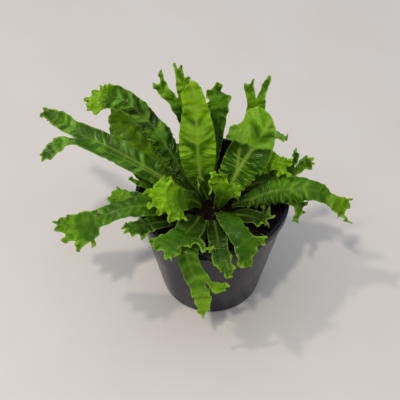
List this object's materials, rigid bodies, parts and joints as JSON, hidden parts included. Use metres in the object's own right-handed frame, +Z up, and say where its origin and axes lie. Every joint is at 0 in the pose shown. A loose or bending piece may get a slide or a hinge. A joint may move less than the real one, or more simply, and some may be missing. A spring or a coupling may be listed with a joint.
{
  "type": "potted fern",
  "caption": "Crested bird's-nest fern with strap-shaped fronds that fork into ruffled crests, growing in a small round tapered plastic pot filled with soil.",
  "frame": {"origin": "middle of the pot's underside", "axes": "+Z up along the pot's axis, -Y towards the side that the picture was taken from"},
  "size_m": [0.2485, 0.1678, 0.2024],
  "materials": {
    "pot": "glossy moulded dark grey plastic, darker at the lip",
    "soil": "matt dark brown potting mix with a few pale woody bits",
    "crown": "matt dark brown scaly rootstock",
    "leaf_young": "waxy, slightly see-through young leaf",
    "leaf_mid": "waxy mid green leaf",
    "leaf_dark": "glossy dark green leaf",
    "leaf_olive": "waxy olive leaf"
  },
  "bodies": {
    "root": {"pot": "pot", "soil": "soil", "crown": "crown", "frond_left_long": "leaf_mid", "frond_left_arching": "leaf_dark", "frond_left_behind": "leaf_olive", "frond_upright_middle": "leaf_young", "frond_back_left_antler": "leaf_mid", "frond_back_right_rolled": "leaf_mid", "frond_back_right_fingers": "leaf_mid", "frond_right_waved": "leaf_mid", "frond_middle_frilly": "leaf_young", "frond_right_lit": "leaf_young", "frond_right_small_upright": "leaf_mid", "frond_right_long": "leaf_mid", "frond_right_low": "leaf_dark", "frond_right_drooping": "leaf_olive", "frond_front_arching": "leaf_mid", "frond_front_under": "leaf_dark", "frond_front_hanging": "leaf_young", "frond_front_left_rim": "leaf_dark", "frond_left_low_long": "leaf_mid", "frond_left_dark_low": "leaf_dark", "frond_left_strap": "leaf_mid", "frond_left_two_lobes": "leaf_mid", "frond_front_left_fan": "leaf_young", "frond_young_furled": "leaf_young", "frond_back_low_middle": "leaf_mid", "frond_back_low_right": "leaf_mid", "frond_back_low_left": "leaf_mid"}
  },
  "joints": []
}
